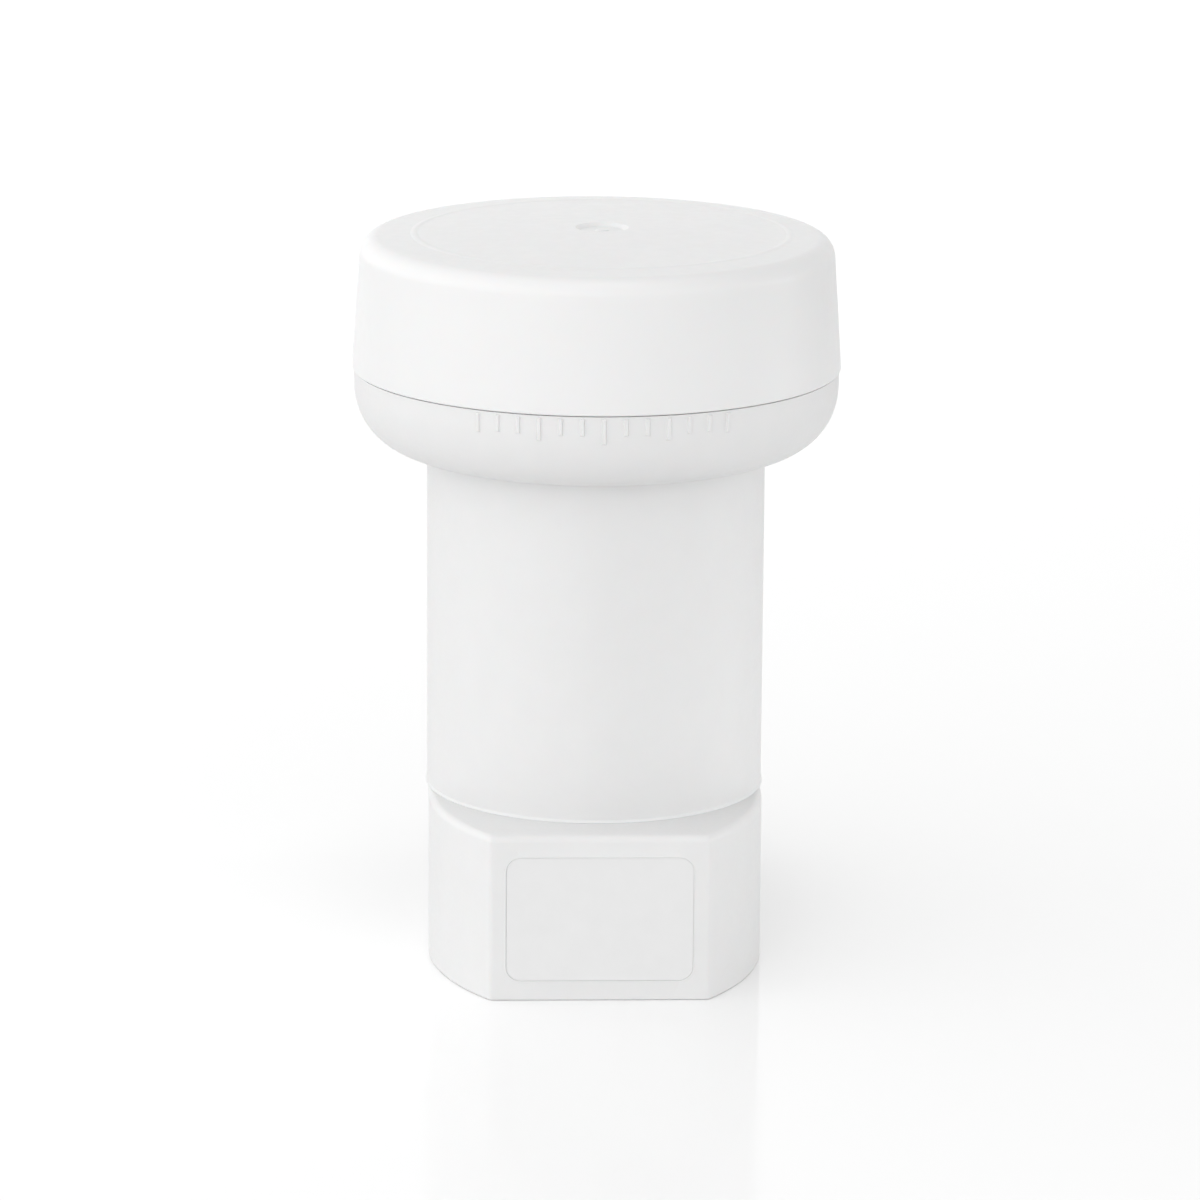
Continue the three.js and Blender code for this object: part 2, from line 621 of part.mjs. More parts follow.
function weatherBoot() {
  const inner = BOSS_RADIUS + GAP;
  const outer = inner + BOOT_WALL;
  const nearY = NECK_RADIUS + 0.7;
  const farY = CONNECTOR_END_Y + 0.1;
  const grips = [25, 27.5, 30].flatMap((y) => [[outer, y], [outer + 0.25, y + 0.7], [outer, y + 1.4]]);
  const profile = [
    [inner, nearY],
    [outer - 0.4, nearY],
    [outer, nearY + 0.6],
    ...grips,
    [outer, farY - 0.6],
    [outer - 0.5, farY],
    [inner - 0.7, farY],
    [inner - 0.7, farY - 1],
    [inner, farY - 1.7],
  ];
  return ontoPort(ring(profile, MEDIUM));
}

// ---------------------------------------------------------------- assembly

const part = new THREE.Group();

function place(name, geometry, material, x = 0, y = 0, z = 0) {
  const mesh = new THREE.Mesh(geometry, FINISHES[material]);
  mesh.name = name;
  mesh.position.set(x, y, z);
  part.add(mesh);
  return mesh;
}

place("front_shroud", frontShroud(), "shell");
place("rear_housing", rearHousing(), "shell");
place("rear_lid", rearLid(), "shell");
place("lid_seal", lidSeal(), "seal");
place("rating_label", labelPlate(LABEL_MARGIN, 0.1, RECESS_DEPTH - 0.05), "label");

place("horn_cap", hornCap(), "cap");
place("cap_seal", sealRing(26.55, 0.42, 0), "seal", 0, 0, CAP_SEAL_Z);
place("horn_throat", hornThroat(), "casting");
place("scalar_horn", scalarHorn(), "casting");
place("neck_seal", sealRing(17.38, 0.46, 0), "seal", 0, 0, NECK_SEAL_Z);

place("chassis_casting", chassisCasting(), "casting");
place("circuit_board", circuitBoard(), "board");
place("shield_cover", shieldCover(), "shield");
place("v_probe", probePin(V_PROBE_Z), "brass");
place("h_probe", probePin(H_PROBE_Z), "brass").rotation.z = Math.PI / 2;
place("v_probe_bush", probeBush(), "ptfe", 0, 0, V_PROBE_Z);
place("h_probe_bush", probeBush(), "ptfe", 0, 0, H_PROBE_Z).rotation.z = Math.PI / 2;
place("septum_bar", septumBar(), "steel", 0, 0, SEPTUM_Z).rotation.z = Math.PI / 2;

for (const { name, x, y, radius } of RESONATORS) {
  place(`resonator_${name}`, resonatorPuck(radius), "ceramic", x, y);
  place(`tuning_screw_${name}`, tuningScrew(), "brass", x, y);
}
for (const { name, x, y, size } of CHIPS) {
  place(name, new THREE.BoxGeometry(...size), "chip", x, y, BOARD_Z - 0.1 - size[2] / 2);
}
SHIELD_SCREW_PLACES.forEach(([x, y], i) => {
  place(`shield_screw_${i + 1}`, screw(2.1, 1.1, 7.1, 8.6, 16.6), "steel", x, y);
});
LEG_PLACES.forEach(([x, y], i) => {
  place(`lid_screw_${i + 1}`, screw(2.2, 1.1, 0.25, 1.7, 9.8), "steel", x, y);
});

place("f_connector_body", connectorBody(), "nickel");
place("f_insulator", connectorInsulator(), "ptfe");
place("f_contact", connectorContact(), "brass");
place("f_seal_ring", ontoPort(sealRing(5.03, 0.38, 29.6, 24)), "seal");
place("weather_boot", weatherBoot(), "shell");

export default part;
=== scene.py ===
"""Looks of a universal single satellite LNB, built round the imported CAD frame.

The detailed pieces are described in millimetres in the CAD's frame: +Z runs along the neck towards the
horn cap, -Y is the label side and +Y the cable side. They become Blender meshes in metres.
"""

import json
import math

import bmesh
import bpy
from mathutils import Matrix, Quaternion, Vector


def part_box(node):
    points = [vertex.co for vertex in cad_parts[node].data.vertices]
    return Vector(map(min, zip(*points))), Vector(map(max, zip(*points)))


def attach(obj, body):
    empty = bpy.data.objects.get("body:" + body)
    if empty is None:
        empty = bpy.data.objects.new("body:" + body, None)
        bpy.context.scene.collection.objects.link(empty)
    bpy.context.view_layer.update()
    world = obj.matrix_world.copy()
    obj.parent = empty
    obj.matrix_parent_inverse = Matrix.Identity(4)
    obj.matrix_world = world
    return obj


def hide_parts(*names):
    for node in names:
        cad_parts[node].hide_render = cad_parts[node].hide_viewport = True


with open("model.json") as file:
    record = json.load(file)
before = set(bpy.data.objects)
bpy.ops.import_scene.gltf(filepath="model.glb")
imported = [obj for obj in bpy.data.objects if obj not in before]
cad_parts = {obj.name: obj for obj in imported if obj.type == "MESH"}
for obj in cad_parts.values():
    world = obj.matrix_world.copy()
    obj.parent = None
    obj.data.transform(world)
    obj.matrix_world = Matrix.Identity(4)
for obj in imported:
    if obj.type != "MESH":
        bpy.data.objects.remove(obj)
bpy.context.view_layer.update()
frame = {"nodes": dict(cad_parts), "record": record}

MM = 0.001


# ---------------------------------------------------------------- sizes from the frame


def box_mm(node):
    low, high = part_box(node)
    return low / MM, high / MM


def middle_z(node):
    low, high = box_mm(node)
    return (low.z + high.z) / 2


def mount(name):
    return next(m for m in frame["record"]["mounts"] if m["name"] == name)


CAP_LOW, CAP_HIGH = box_mm("horn_cap")
SHROUD_LOW, SHROUD_HIGH = box_mm("front_shroud")
HOUSING_LOW, HOUSING_HIGH = box_mm("rear_housing")
LABEL_LOW, LABEL_HIGH = box_mm("rating_label")
THROAT_LOW, THROAT_HIGH = box_mm("horn_throat")
HORN_LOW, HORN_HIGH = box_mm("scalar_horn")
BOOT_LOW, BOOT_HIGH = box_mm("weather_boot")
PORT_LOW, PORT_HIGH = box_mm("f_connector_body")

NECK_RADIUS = mount("neck_clamp_40mm")["dims"]["r_mm"]
BOWL_RADIUS = SHROUD_HIGH.x
CAP_RADIUS = CAP_HIGH.x
HOUSING_TOP = HOUSING_HIGH.z
PORT_Z = middle_z("f_connector_body")
PORT_END = PORT_HIGH.y

# Front shroud: neck, bowl and spigot. The bowl's section is a quarter superellipse from neck to rim.
BOWL_FOOT_RADIUS = NECK_RADIUS + 0.27
BOWL_FOOT_Z = 60.63
BOWL_EDGE_Z = 68.84
BOWL_SQUARENESS = 2.217
RIM_Z = CAP_LOW.z - 0.09
SPIGOT_RADIUS = BOWL_RADIUS - 1.68
SPIGOT_INNER = BOWL_RADIUS - 3.38
NECK_INNER = NECK_RADIUS - 2
NECK_LINER = NECK_INNER - 1.8
FOOT_FLARE = 0.14
FOOT_HEIGHT = 0.34
SEAL_GROOVE_HALF = 0.6

# Skew scale: raised ticks below the cap, every 5 degrees, longer at every third one. The band of the
# bowl that holds them, TICK_ZONE high, is built of rows SCALE_ROW apart.
TICK_STEP = 5
TICK_RANGE = 30
TICK_WIDTH = 0.46
TICK_HEIGHT = 0.21
TICK_TOP = RIM_Z - 0.3
TICK_EDGE = 0.12
SHORT_TICK = 1.9
LONG_TICK = 2.9
LONG_TICK_TAPER = 0.023
TICK_ZONE = 3.15
SCALE_ROW = 0.08

# Cap: drafted side, rounded edge, slightly domed top with a thin raised ring and a gate dimple.
CAP_SEGMENTS = 224
CAP_TOP_RADIUS = CAP_RADIUS - 0.87
CAP_EDGE_Z = CAP_HIGH.z - 0.97
CAP_FILLET = 2.3
CAP_FILLET_CENTRE = CAP_TOP_RADIUS - CAP_FILLET
CAP_WALL = 1.5
CAP_CLEARANCE = 0.35
RIDGE_RADIUS = 22.05
RIDGE_HEIGHT = 0.07
RIDGE_HALF_WIDTH = 0.5
MOULD_OFFSET = 0.55
GATE_RADIUS = 3.15
GATE_DEPTH = 0.4

# Rear housing: plan, edges, opening under the neck, and the label recess with its raised bead.
LABEL_FACE_HALF_WIDTH = 12.75
SIDE_CENTRE_Y = -5.3
BACK_RADIUS = NECK_RADIUS - 0.07
CORNER_RADIUS = 0.7
TOP_FILLET = 0.85
LEAST_TOP_FILLET = 0.15
BOTTOM_FILLET = 0.25
HOUSING_WALL = 2
NECK_OPENING = 18.2
LABEL_GAP = 0.4
RECESS_WIDTH = 2 * (LABEL_HIGH.x + LABEL_GAP)
RECESS_HEIGHT = LABEL_HIGH.z - LABEL_LOW.z + 2 * LABEL_GAP
RECESS_CENTRE_Z = (LABEL_HIGH.z + LABEL_LOW.z) / 2
RECESS_CORNER = 1.7
RECESS_DEPTH = 0.35
LIP_CHAMFER = 0.06
BEAD_WIDTH = 0.25
BEAD_HEIGHT = 0.06
LABEL_FILM_MARGIN = 0.012
LABEL_FILM_DROP = 0.02

# Rear lid and the counterbores for its screws.
LID_INSET = HOUSING_WALL + 0.3
LID_THICKNESS = 2
COUNTERBORE_RADIUS = 2.5
SHANK_HOLE_RADIUS = 1.35

# Feedhorn: circular waveguide, throat fin, and the dish's inner fin.
WAVEGUIDE_BORE = 8.75
HORN_BORE = 11.35
HORN_SHOULDER = 12.2
THROAT_FIN = 12.2
DISH_BORE = 12.5
DISH_FIN = 18

# Cable side: boss, connector with its 3/8-32 thread, and the sliding boot.
BOSS_RADIUS = 7.4
BOSS_COLLAR = 1.2
PORT_HOLE_RADIUS = 5.5
BOOT_CLEARANCE = 0.3
BOOT_WALL = 1.3
GRIP_STARTS = (4.3, 6.8, 9.3)
BARREL_FOOT_RADIUS = 3.9
BARREL_SHOULDER = 18.1
PORT_SEAL_GROOVE = (29, 30.2)
PORT_SEAL_DEPTH = 0.65
SOCKET_RADIUS = 3.5
SOCKET_FLOOR = 22
TAIL_HOLE_RADIUS = 1.6
CONTACT_HOLE_RADIUS = 1.15
THREAD_PITCH = 25.4 / 32
THREAD_ROW = 0.06
THREAD_DEPTH = 0.42
THREAD_RADIUS = 4.72
THREAD_START = 31.9

# Camera and studio, in metres, degrees and watts: a light tent, a soft key overhead and a narrow fill
# from the low right.
CAMERA_TARGET = Vector((0.0006, 0, 0.0418))
CAMERA_DISTANCE = 0.724
CAMERA_ELEVATION = 13.92
CAMERA_TURN = -1.9
CAMERA_ROLL = 0.4
CAMERA_LENS = 182.44
FLOOR_RINGS = (0.4, 6)
TENT_LEVEL = 1.63
TENT_SLOPE = (-0.52, -0.29, -0.96)
KEY_PLACE = (0.1, -0.35, 1.7)
KEY_SIZE = 0.5
KEY_POWER = 2.2
FILL_PLACE = (1.1, 0.1, 0.12)
FILL_AIM = (0, 0, 0.026)
FILL_BEAM = 6
FILL_BLEND = 0.9
FILL_SIZE = 0.05
FILL_POWER = 18


# ---------------------------------------------------------------- node materials


class Shader:
    """Shorthand for building one Principled material out of nodes."""

    def __init__(self, name):
        self.material = bpy.data.materials.new(name)
        self.material.use_nodes = True
        self.tree = self.material.node_tree
        self.principled = self.tree.nodes["Principled BSDF"]
        self.place = self.add("ShaderNodeTexCoord").outputs["Object"]

    def add(self, kind, **settings):
        node = self.tree.nodes.new(kind)
        for key, value in settings.items():
            setattr(node, key, value)
        return node

    def link(self, source, target):
        self.tree.links.new(source, target)

    def set(self, **values):
        for key, value in values.items():
            self.principled.inputs[key.replace("_", " ")].default_value = value

    def noise(self, scale, detail=3.0, roughness=0.55, stretch=None):
        """Noise with scale in features per metre, stretched along an axis when asked."""
        node = self.add("ShaderNodeTexNoise")
        node.inputs["Scale"].default_value = scale
        node.inputs["Detail"].default_value = detail
        node.inputs["Roughness"].default_value = roughness
        place = self.place
        if stretch:
            mapping = self.add("ShaderNodeMapping")
            mapping.inputs["Scale"].default_value = stretch
            self.link(place, mapping.inputs["Vector"])
            place = mapping.outputs["Vector"]
        self.link(place, node.inputs["Vector"])
        return node.outputs["Fac"]

    def ramp(self, factor, low, high, start=0.35, end=0.65):
        """Values or colours blended from low to high as the factor goes from start to end."""
        node = self.add("ShaderNodeValToRGB")
        stops = node.color_ramp.elements
        stops[0].position, stops[1].position = start, end
        stops[0].color = (*low, 1) if isinstance(low, tuple) else (low, low, low, 1)
        stops[1].color = (*high, 1) if isinstance(high, tuple) else (high, high, high, 1)
        self.link(factor, node.inputs["Fac"])
        return node.outputs["Color"]

    def color(self, factor, low, high, start=0.35, end=0.65):
        self.link(self.ramp(factor, low, high, start, end), self.principled.inputs["Base Color"])

    def roughness(self, factor, low, high, start=0.35, end=0.65):
        self.link(self.ramp(factor, low, high, start, end), self.principled.inputs["Roughness"])

    def bump(self, *layers):
        """Stacks (height, strength, distance in mm) layers of bump."""
        normal = None
        for height, strength, distance in layers:
            node = self.add("ShaderNodeBump")
            node.inputs["Strength"].default_value = strength
            node.inputs["Distance"].default_value = distance * MM
            self.link(height, node.inputs["Height"])
            if normal:
                self.link(normal, node.inputs["Normal"])
            normal = node.outputs["Normal"]
        self.link(normal, self.principled.inputs["Normal"])


def grey(value, warmth=0.0):
    return (value + warmth, value, value - warmth)


def shell_plastic():
    """Light grey ASA with the fine matt texture of a spark-eroded mould."""
    s = Shader("shell_plastic")
    s.color(s.noise(260, 4), grey(0.690), grey(0.700), 0.3, 0.7)
    s.roughness(s.noise(1800, 2), 0.46, 0.58)
    s.bump((s.noise(5200, 2), 0.22, 0.03), (s.noise(900, 4), 0.12, 0.05))
    s.set(Specular_IOR_Level=0.5, Subsurface_Weight=0.05, Subsurface_Scale=0.001)
    return s.material


def cap_plastic():
    """Whiter, smoother plastic of the horn cap, which has to pass microwaves."""
    s = Shader("cap_plastic")
    s.color(s.noise(120, 3), grey(0.724), grey(0.730), 0.3, 0.7)
    s.roughness(s.noise(700, 2), 0.36, 0.44)
    s.bump((s.noise(2600, 2), 0.06, 0.02), (s.noise(90, 2), 0.05, 0.15))
    s.set(Specular_IOR_Level=0.5, Subsurface_Weight=0.08, Subsurface_Scale=0.0015)
    return s.material


def label_film():
    s = Shader("label_film")
    s.color(s.noise(400, 4), grey(0.692), grey(0.704), 0.3, 0.7)
    s.roughness(s.noise(3000, 2), 0.5, 0.6)
    s.bump((s.noise(4200, 3), 0.15, 0.02))
    return s.material


def silicone():
    s = Shader("silicone")
    s.color(s.noise(900, 3), (0.30, 0.075, 0.05), (0.38, 0.10, 0.07))
    s.roughness(s.noise(1500, 2), 0.5, 0.7)
    s.bump((s.noise(2600, 3), 0.3, 0.04))
    return s.material


def cast_aluminium():
    """Die-cast alloy: satin skin with flow marks and a fine grain."""
    s = Shader("cast_aluminium")
    s.color(s.noise(160, 5, 0.6), grey(0.50), grey(0.62, -0.004), 0.25, 0.75)
    s.roughness(s.noise(420, 4), 0.34, 0.52)
    s.bump((s.noise(3400, 3), 0.3, 0.03), (s.noise(500, 4), 0.2, 0.06))
    s.set(Metallic=1.0)
    return s.material


def sheet_aluminium():
    s = Shader("sheet_aluminium")
    s.color(s.noise(200, 4, 0.5, (12, 1, 1)), grey(0.60), grey(0.70), 0.3, 0.7)
    s.roughness(s.noise(600, 3, 0.5, (14, 1, 1)), 0.26, 0.40)
    s.bump((s.noise(900, 3, 0.5, (20, 1, 1)), 0.15, 0.02))
    s.set(Metallic=1.0)
    return s.material


def zinc_steel():
    s = Shader("zinc_steel")
    s.color(s.noise(900, 4), grey(0.52), grey(0.64, -0.006), 0.3, 0.7)
    s.roughness(s.noise(1600, 3), 0.24, 0.38)
    s.bump((s.noise(5000, 2), 0.15, 0.01))
    s.set(Metallic=1.0)
    return s.material


def nickel_plate():
    """Bright nickel on turned brass, with faint tool rings round the connector's axis."""
    s = Shader("nickel_plate")
    s.color(s.noise(700, 3), (0.60, 0.58, 0.53), (0.70, 0.68, 0.63), 0.3, 0.7)
    s.roughness(s.noise(500, 3, 0.5, (1, 30, 1)), 0.14, 0.26)
    s.bump((s.noise(260, 2, 0.5, (1, 40, 1)), 0.12, 0.01))
    s.set(Metallic=1.0)
    return s.material


def turned_brass():
    s = Shader("turned_brass")
    s.color(s.noise(800, 3), (0.62, 0.40, 0.13), (0.74, 0.50, 0.19), 0.3, 0.7)
    s.roughness(s.noise(1200, 3), 0.20, 0.34)
    s.bump((s.noise(4000, 2), 0.12, 0.01))
    s.set(Metallic=1.0)
    return s.material


def ptfe():
    s = Shader("ptfe")
    s.color(s.noise(700, 3), grey(0.80), grey(0.85), 0.3, 0.7)
    s.roughness(s.noise(900, 2), 0.35, 0.45)
    s.bump((s.noise(2200, 2), 0.1, 0.02))
    s.set(Subsurface_Weight=0.2, Subsurface_Scale=0.001)
    return s.material


def solder_mask():
    """Green board: darker mask with paler copper areas under it."""
    s = Shader("solder_mask")
    s.color(s.noise(420, 0, 0.3), (0.012, 0.085, 0.035), (0.03, 0.17, 0.07), 0.47, 0.5)
    s.roughness(s.noise(900, 2), 0.25, 0.4)
    s.bump((s.noise(420, 0, 0.3), 0.3, 0.03))
    return s.material


def chip_epoxy():
    s = Shader("chip_epoxy")
    s.color(s.noise(2600, 4), grey(0.012), grey(0.03))
    s.roughness(s.noise(3000, 2), 0.45, 0.62)
    s.bump((s.noise(7000, 2), 0.3, 0.01))
    return s.material


def fired_ceramic():
    s = Shader("fired_ceramic")
    s.color(s.noise(1500, 5), (0.42, 0.27, 0.16), (0.54, 0.36, 0.22), 0.3, 0.7)
    s.roughness(s.noise(2400, 3), 0.55, 0.75)
    s.bump((s.noise(5200, 4), 0.35, 0.02))
    return s.material


def studio_white():
    """Glossy white table: bright, with a faint mirror image that softens away from the object."""
    s = Shader("studio_white")
    s.color(s.noise(3, 2), grey(0.92), grey(0.93))
    s.roughness(s.noise(6, 2), 0.08, 0.1)
    s.set(Specular_IOR_Level=1.0)
    return s.material


MATERIALS = {
    "shell": shell_plastic(),
    "cap": cap_plastic(),
    "label": label_film(),
    "seal": silicone(),
    "casting": cast_aluminium(),
    "shield": sheet_aluminium(),
    "steel": zinc_steel(),
    "nickel": nickel_plate(),
    "brass": turned_brass(),
    "ptfe": ptfe(),
    "board": solder_mask(),
    "chip": chip_epoxy(),
    "ceramic": fired_ceramic(),
}


# ---------------------------------------------------------------- mesh helpers


def mesh_object(name, points, faces):
    """A mesh object from points in millimetres."""
    mesh = bpy.data.meshes.new(name)
    mesh.from_pydata([(x * MM, y * MM, z * MM) for x, y, z in points], [], faces)
    mesh.validate()
    obj = bpy.data.objects.new(name, mesh)
    bpy.context.scene.collection.objects.link(obj)
    return obj


def rounded(points, steps=6):
    """Replaces each inner corner given as (a, b, radius) by an arc; one with no radius stays sharp."""
    path = []
    for i, point in enumerate(points):
        corner = Vector(point[:2])
        radius = point[2] if len(point) > 2 else 0
        if i in (0, len(points) - 1) or radius <= 0:
            path.append((corner.x, corner.y))
            continue
        back = Vector(points[i - 1][:2]) - corner
        ahead = Vector(points[i + 1][:2]) - corner
        half = back.angle(ahead) / 2
        reach = min(radius / math.tan(half), 0.49 * back.length, 0.49 * ahead.length)
        radius = reach * math.tan(half)
        middle = (back.normalized() + ahead.normalized()).normalized()
        centre = corner + middle * (radius / math.sin(half))
        start = corner + back.normalized() * reach - centre
        end = corner + ahead.normalized() * reach - centre
        first = math.atan2(start.y, start.x)
        turn = math.remainder(math.atan2(end.y, end.x) - first, math.tau)
        for k in range(steps + 1):
            angle = first + turn * k / steps
            path.append((centre.x + radius * math.cos(angle), centre.y + radius * math.sin(angle)))
    return path


def arc(x, y, radius, first, last, count):
    """Points of an arc, with both ends."""
    angles = [first + (last - first) * k / count for k in range(count + 1)]
    return [(x + radius * math.cos(a), y + radius * math.sin(a)) for a in angles]


def seal_groove(radius, z, depth):
    """A square groove for a seal, cut into a wall of the given radius round height z."""
    low, high = z - SEAL_GROOVE_HALF, z + SEAL_GROOVE_HALF
    return [(radius, low, 0.1), (radius - depth, low, 0.1), (radius - depth, high, 0.1), (radius, high, 0.1)]


def even_angles(count):
    return [math.tau * k / count for k in range(count)]


def revolve(name, path, angles, closed=False, warp=None, port=False):
    """Turns a path of (radius, height) about Z, or about the connector's axis when port is true.
    warp(angle, radius, height) may move a point to another radius."""
    points, rows = [], []
    for radius, height in path:
        if radius < 1e-6:
            rows.append([len(points)] * len(angles))
            points.append((0, 0, height))
            continue
        rows.append(list(range(len(points), len(points) + len(angles))))
        for angle in angles:
            r = warp(angle, radius, height) if warp else radius
            points.append((r * math.cos(angle), r * math.sin(angle), height))
    faces = []
    pairs = list(zip(rows, rows[1:])) + ([(rows[-1], rows[0])] if closed else [])
    for low, high in pairs:
        for j in range(len(angles)):
            k = (j + 1) % len(angles)
            faces.append(list(dict.fromkeys([low[j], low[k], high[k], high[j]])))
    if port:
        points = [(x, z, PORT_Z - y) for x, y, z in points]
    return mesh_object(name, points, faces)


def loft(name, rings, closed=True):
    """Joins rings of equally many points. A closed loft ends at its first ring; an open one is capped."""
    count = len(rings[0])
    total = len(rings)
    points = [point for ring in rings for point in ring]
    faces = []
    for i in range(total if closed else total - 1):
        low, high = i * count, ((i + 1) % total) * count
        for j in range(count):
            k = (j + 1) % count
            faces.append([low + j, low + k, high + k, high + j])
    if not closed:
        faces.append(list(range(count))[::-1])
        faces.append(list(range((total - 1) * count, total * count)))
    return mesh_object(name, points, faces)


def face_outwards(mesh):
    """Makes every face point out of the closed bmesh."""
    bmesh.ops.recalc_face_normals(mesh, faces=mesh.faces)


def boolean(obj, cutter, operation):
    """Joins the cutter to obj or cuts it away, and removes the cutter."""
    for solid in (obj, cutter):
        mesh = bmesh.new()
        mesh.from_mesh(solid.data)
        face_outwards(mesh)
        mesh.to_mesh(solid.data)
        mesh.free()
    modifier = obj.modifiers.new("boolean", "BOOLEAN")
    modifier.operation = operation
    modifier.solver = "EXACT"
    modifier.object = cutter
    bpy.context.view_layer.update()
    done = bpy.data.meshes.new_from_object(obj.evaluated_get(bpy.context.evaluated_depsgraph_get()))
    obj.modifiers.clear()
    obj.data = done
    bpy.data.objects.remove(cutter)


def finish_piece(obj, slot, body, *nodes, sharp=32):
    """Smooth shading with sharp creases kept, the slot's material, and the piece's place in the frame."""
    mesh = bmesh.new()
    mesh.from_mesh(obj.data)
    bmesh.ops.remove_doubles(mesh, verts=mesh.verts, dist=0.002 * MM)
    face_outwards(mesh)
    limit = math.radians(sharp)
    for face in mesh.faces:
        face.smooth = True
    for edge in mesh.edges:
        edge.smooth = len(edge.link_faces) == 2 and edge.calc_face_angle(0) < limit
    mesh.to_mesh(obj.data)
    mesh.free()
    obj.data.materials.clear()
    obj.data.materials.append(MATERIALS[slot])
    weighted = obj.modifiers.new("weighted_normal", "WEIGHTED_NORMAL")
    weighted.keep_sharp = True
    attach(obj, body)
    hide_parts(*nodes)


# ---------------------------------------------------------------- horn cap


def crown(radius):
    """Height of the cap's slightly domed top at a radius."""
    return CAP_HIGH.z - (CAP_HIGH.z - CAP_EDGE_Z) * (radius / CAP_FILLET_CENTRE) ** 2


def ridge_profile():
    """The thin raised ring on the cap's top, from outside to inside."""
    points = []
    for k in range(4, -5, -1):
        radius = RIDGE_RADIUS + RIDGE_HALF_WIDTH * k / 4
        points.append((radius, crown(radius) + RIDGE_HEIGHT * math.cos(k / 4 * math.pi / 2)))
    return points


def gate_profile():
    """The gate dimple with the small vestige of the gate in its middle."""
    floor = CAP_HIGH.z - GATE_DEPTH
    lip = GATE_RADIUS + 0.6
    return rounded(
        [
            (lip, crown(lip)),
            (GATE_RADIUS, crown(GATE_RADIUS), 0.25),
            (GATE_RADIUS - 0.7, floor, 0.5),
            (0.8, floor - 0.02, 0.1),
            (0.6, floor + 0.1, 0.08),
            (0, floor + 0.12),
        ]
    )


def mould_offset(point):
    """The ring and the gate mark lie a little off the cap's axis, as the mould's insert does."""
    if point.z < CAP_EDGE_Z:
        return 0
    share = min(max((CAP_FILLET_CENTRE - math.hypot(point.x, point.y)) / 2.5, 0), 1)
    return MOULD_OFFSET * share * share * (3 - 2 * share)


def make_horn_cap():
    """One profile from axis to axis: ceiling, inner wall, lip, drafted outer wall, edge, ring, dome, gate."""
    inner = SPIGOT_RADIUS + CAP_CLEARANCE
    bottom = CAP_LOW.z
    draft = math.atan2(CAP_RADIUS - CAP_TOP_RADIUS, CAP_EDGE_Z - bottom)
    dome_tilt = 2 * (CAP_HIGH.z - CAP_EDGE_Z) / CAP_FILLET_CENTRE
    wall_and_lip = rounded(
        [
            (0, CAP_HIGH.z - GATE_DEPTH - CAP_WALL + 0.2),
            (14, crown(14) - CAP_WALL),
            (CAP_FILLET_CENTRE - 0.6, CAP_EDGE_Z - CAP_WALL, 0.6),
            (CAP_TOP_RADIUS - CAP_WALL, CAP_EDGE_Z - CAP_WALL - 1.2, 0.8),
            (inner, bottom + 4.8, 1.5),
            (inner, bottom + 0.35, 0.2),
            (inner + 0.3, bottom, 0.1),
            (CAP_RADIUS, bottom, 0.22),
            (CAP_RADIUS - 2 * math.tan(draft), bottom + 2),
        ]
    )
    centre = (CAP_FILLET_CENTRE, CAP_EDGE_Z - CAP_FILLET)
    edge = arc(*centre, CAP_FILLET, draft, math.pi / 2 - dome_tilt, 14)
    dome = [(r, crown(r)) for r in (20, 17, 14, 11, 8, 5.5)]
    path = wall_and_lip + edge + ridge_profile() + dome + gate_profile()
    cap = revolve("cap_shell", path, even_angles(CAP_SEGMENTS))
    for vertex in cap.data.vertices:
        vertex.co.x += mould_offset(vertex.co / MM) * MM
    finish_piece(cap, "cap", "cap", "horn_cap")


# ---------------------------------------------------------------- front shroud


def bowl_radius(z):
    """Radius of the bowl's outer wall at a height."""
    if z >= BOWL_EDGE_Z:
        return BOWL_RADIUS
    drop = (BOWL_EDGE_Z - z) / (BOWL_EDGE_Z - BOWL_FOOT_Z)
    share = max(1 - drop**BOWL_SQUARENESS, 0) ** (1 / BOWL_SQUARENESS)
    return BOWL_FOOT_RADIUS + (BOWL_RADIUS - BOWL_FOOT_RADIUS) * share


def bowl_curve(rim, foot, edge, low, steps):
    """Quarter superellipse from the rim at height edge down and in to the foot at height low."""
    power = 2 / BOWL_SQUARENESS
    points = []
    for k in range(steps + 1):
        angle = k / steps * math.pi / 2
        out = max(math.cos(angle), 0) ** power
        points.append((foot + (rim - foot) * out, edge - (edge - low) * math.sin(angle) ** power))
    return points


def tick_length(degrees):
    """Length of the tick at a bearing: every third one is long, and shorter the further out it stands."""
    return LONG_TICK - LONG_TICK_TAPER * abs(degrees) if degrees % (3 * TICK_STEP) == 0 else SHORT_TICK


def tick_relief(angle, radius, height):
    """Raises the skew scale's ticks out of the bowl's outer wall."""
    if radius < SPIGOT_RADIUS + 0.6 or not TICK_TOP - TICK_ZONE < height < RIM_Z - 0.02:
        return radius
    degrees = math.degrees(math.remainder(angle + math.pi / 2, math.tau))
    nearest = TICK_STEP * round(degrees / TICK_STEP)
    if abs(nearest) > TICK_RANGE:
        return radius
    across = abs(math.radians(degrees - nearest)) * BOWL_RADIUS
    bottom = TICK_TOP - tick_length(nearest)
    inside = min(TICK_WIDTH / 2 - across, TICK_TOP - height, height - bottom)
    share = min(max(inside / TICK_EDGE + 0.5, 0), 1)
    return radius + TICK_HEIGHT * share * share * (3 - 2 * share)


